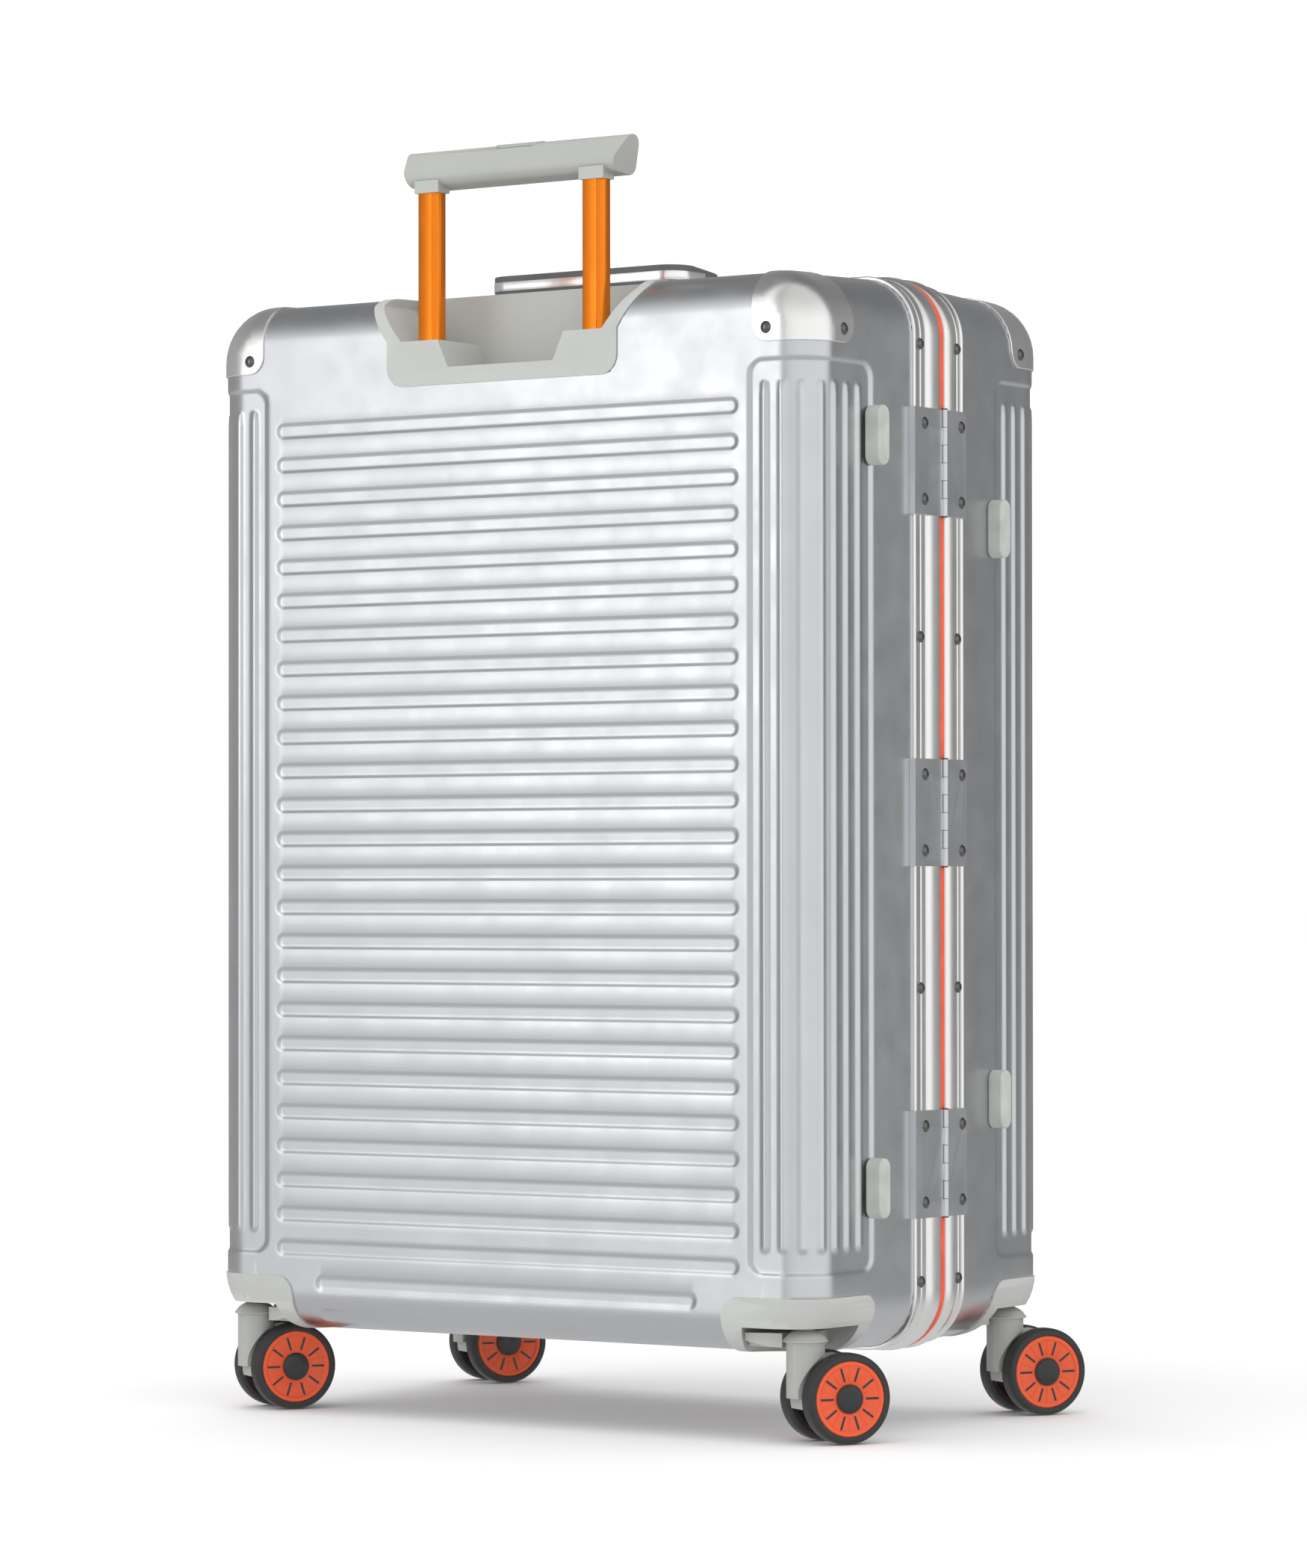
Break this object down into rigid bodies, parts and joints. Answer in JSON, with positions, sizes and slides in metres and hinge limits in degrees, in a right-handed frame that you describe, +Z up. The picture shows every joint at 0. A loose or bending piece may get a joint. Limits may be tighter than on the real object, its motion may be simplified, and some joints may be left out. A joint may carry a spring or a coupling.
{
  "type": "suitcase",
  "caption": "Hard shell suitcase with ribbed aluminium halves, framed and hinged, on twin-wheel casters, with a telescopic pull handle and folding carry handles.",
  "frame": {"origin": "on the floor under the middle of the object's outer box", "axes": "+Z up, +X towards the hinge side, -Y towards the face with the pull handle"},
  "size_m": [0.5336, 0.328, 0.8537],
  "materials": {
    "shell_aluminium": "satin anodised sheet",
    "frame_aluminium": "satin anodised extrusion",
    "seal_rubber": "matt orange-red",
    "rivet_steel": "dark polished",
    "cup_plastic": "fine texture, warm light grey",
    "tube_anodised": "orange anodised",
    "guide_metal": "mill finish",
    "handle_plastic": "fine texture, dark grey",
    "foot_rubber": "matt pale grey",
    "lining_fabric": "woven lining",
    "strap_webbing": "woven webbing",
    "tyre_rubber": "matt",
    "disc_plastic": "satin orange-red",
    "axle_steel": "turned",
    "latch_metal": "satin"
  },
  "bodies": {
    "root": {"rear_shell": "shell_aluminium", "rear_frame": "frame_aluminium", "frame_seal": "seal_rubber", "rear_corner_caps": "frame_aluminium", "rear_rivets": "rivet_steel", "rear_hinge_leaves": "frame_aluminium", "hinge_pins": "axle_steel", "rear_side_feet": "foot_rubber", "handle_cup": "cup_plastic", "guide_tubes": "guide_metal", "tube_bracket": "handle_plastic", "handle_brackets": "handle_plastic", "latch_keepers": "latch_metal", "rear_lining": "lining_fabric", "packing_straps": "strap_webbing", "rear_right_housing": "cup_plastic", "rear_left_housing": "cup_plastic"},
    "front_half": {"front_shell": "shell_aluminium", "front_frame": "frame_aluminium", "front_corner_caps": "frame_aluminium", "front_rivets": "rivet_steel", "front_hinge_leaves": "frame_aluminium", "front_side_feet": "foot_rubber", "latch_plates": "latch_metal", "front_lining": "lining_fabric", "front_right_housing": "cup_plastic", "front_left_housing": "cup_plastic"},
    "middle_tubes": {"middle_tubes": "tube_anodised"},
    "pull_handle": {"inner_tubes": "tube_anodised", "handle_grip": "cup_plastic"},
    "grip_button": {"grip_button": "handle_plastic"},
    "top_handle": {"top_handle": "handle_plastic"},
    "side_handle": {"side_handle": "handle_plastic"},
    "upper_latch_lever": {"upper_latch_lever": "latch_metal"},
    "lower_latch_lever": {"lower_latch_lever": "latch_metal"},
    "rear_right_caster": {"rear_right_fork": "cup_plastic", "rear_right_axle": "axle_steel"},
    "rear_right_wheel_a": {"rear_right_wheel_a": "disc_plastic", "rear_right_tyre_a": "tyre_rubber"},
    "rear_right_wheel_b": {"rear_right_wheel_b": "disc_plastic", "rear_right_tyre_b": "tyre_rubber"},
    "rear_left_caster": {"rear_left_fork": "cup_plastic", "rear_left_axle": "axle_steel"},
    "rear_left_wheel_a": {"rear_left_wheel_a": "disc_plastic", "rear_left_tyre_a": "tyre_rubber"},
    "rear_left_wheel_b": {"rear_left_wheel_b": "disc_plastic", "rear_left_tyre_b": "tyre_rubber"},
    "front_right_caster": {"front_right_fork": "cup_plastic", "front_right_axle": "axle_steel"},
    "front_right_wheel_a": {"front_right_wheel_a": "disc_plastic", "front_right_tyre_a": "tyre_rubber"},
    "front_right_wheel_b": {"front_right_wheel_b": "disc_plastic", "front_right_tyre_b": "tyre_rubber"},
    "front_left_caster": {"front_left_fork": "cup_plastic", "front_left_axle": "axle_steel"},
    "front_left_wheel_a": {"front_left_wheel_a": "disc_plastic", "front_left_tyre_a": "tyre_rubber"},
    "front_left_wheel_b": {"front_left_wheel_b": "disc_plastic", "front_left_tyre_b": "tyre_rubber"}
  },
  "joints": [
    {"name": "case_hinge", "type": "hinge", "parent": "root", "child": "front_half", "pos_m": [0.2526, -0.0125, 0.4065], "axis": [0, 0, -1], "range_deg": [0, 172]},
    {"name": "lower_stage_slide", "type": "slide", "parent": "root", "child": "middle_tubes", "axis": [0, 0, 1], "range_m": [0, 0.15]},
    {"name": "upper_stage_slide", "type": "slide", "parent": "middle_tubes", "child": "pull_handle", "axis": [0, 0, 1], "range_m": [-0.097, 0.1]},
    {"name": "grip_button_press", "type": "slide", "parent": "pull_handle", "child": "grip_button", "axis": [0, 0, -1], "range_m": [0, 0.003], "stiffness_N_per_m": 400, "springref_m": -0.002},
    {"name": "top_handle_pivot", "type": "hinge", "parent": "root", "child": "top_handle", "pos_m": [0, -0.0248, 0.767], "axis": [-1, 0, 0], "range_deg": [0, 95]},
    {"name": "side_handle_pivot", "type": "hinge", "parent": "root", "child": "side_handle", "pos_m": [-0.257, -0.0248, 0.4065], "axis": [0, 0, -1], "range_deg": [0, 95]},
    {"name": "upper_latch", "type": "hinge", "parent": "front_half", "child": "upper_latch_lever", "pos_m": [-0.2556, 0.0105, 0.6065], "axis": [0, 0, -1], "range_deg": [0, 80]},
    {"name": "lower_latch", "type": "hinge", "parent": "front_half", "child": "lower_latch_lever", "pos_m": [-0.2556, 0.0105, 0.2065], "axis": [0, 0, -1], "range_deg": [0, 80]},
    {"name": "rear_right_swivel", "type": "hinge", "parent": "root", "child": "rear_right_caster", "pos_m": [0.2248, -0.1393, 0.066], "axis": [0, 0, 1], "continuous": true},
    {"name": "rear_right_roll_a", "type": "hinge", "parent": "rear_right_caster", "child": "rear_right_wheel_a", "pos_m": [0.23555, -0.12126, 0.0295], "axis": [-0.859, 0.512, 0], "continuous": true},
    {"name": "rear_right_roll_b", "type": "hinge", "parent": "rear_right_caster", "child": "rear_right_wheel_b", "pos_m": [0.23555, -0.12126, 0.0295], "axis": [-0.859, 0.512, 0], "continuous": true},
    {"name": "rear_left_swivel", "type": "hinge", "parent": "root", "child": "rear_left_caster", "pos_m": [-0.2248, -0.1393, 0.066], "axis": [0, 0, 1], "continuous": true},
    {"name": "rear_left_roll_a", "type": "hinge", "parent": "rear_left_caster", "child": "rear_left_wheel_a", "pos_m": [-0.21405, -0.12126, 0.0295], "axis": [-0.859, 0.512, 0], "continuous": true},
    {"name": "rear_left_roll_b", "type": "hinge", "parent": "rear_left_caster", "child": "rear_left_wheel_b", "pos_m": [-0.21405, -0.12126, 0.0295], "axis": [-0.859, 0.512, 0], "continuous": true},
    {"name": "front_right_swivel", "type": "hinge", "parent": "front_half", "child": "front_right_caster", "pos_m": [0.2248, 0.1093, 0.066], "axis": [0, 0, 1], "continuous": true},
    {"name": "front_right_roll_a", "type": "hinge", "parent": "front_right_caster", "child": "front_right_wheel_a", "pos_m": [0.23555, 0.12734, 0.0295], "axis": [-0.859, 0.512, 0], "continuous": true},
    {"name": "front_right_roll_b", "type": "hinge", "parent": "front_right_caster", "child": "front_right_wheel_b", "pos_m": [0.23555, 0.12734, 0.0295], "axis": [-0.859, 0.512, 0], "continuous": true},
    {"name": "front_left_swivel", "type": "hinge", "parent": "front_half", "child": "front_left_caster", "pos_m": [-0.2248, 0.1093, 0.066], "axis": [0, 0, 1], "continuous": true},
    {"name": "front_left_roll_a", "type": "hinge", "parent": "front_left_caster", "child": "front_left_wheel_a", "pos_m": [-0.21405, 0.12734, 0.0295], "axis": [-0.859, 0.512, 0], "continuous": true},
    {"name": "front_left_roll_b", "type": "hinge", "parent": "front_left_caster", "child": "front_left_wheel_b", "pos_m": [-0.21405, 0.12734, 0.0295], "axis": [-0.859, 0.512, 0], "continuous": true}
  ]
}
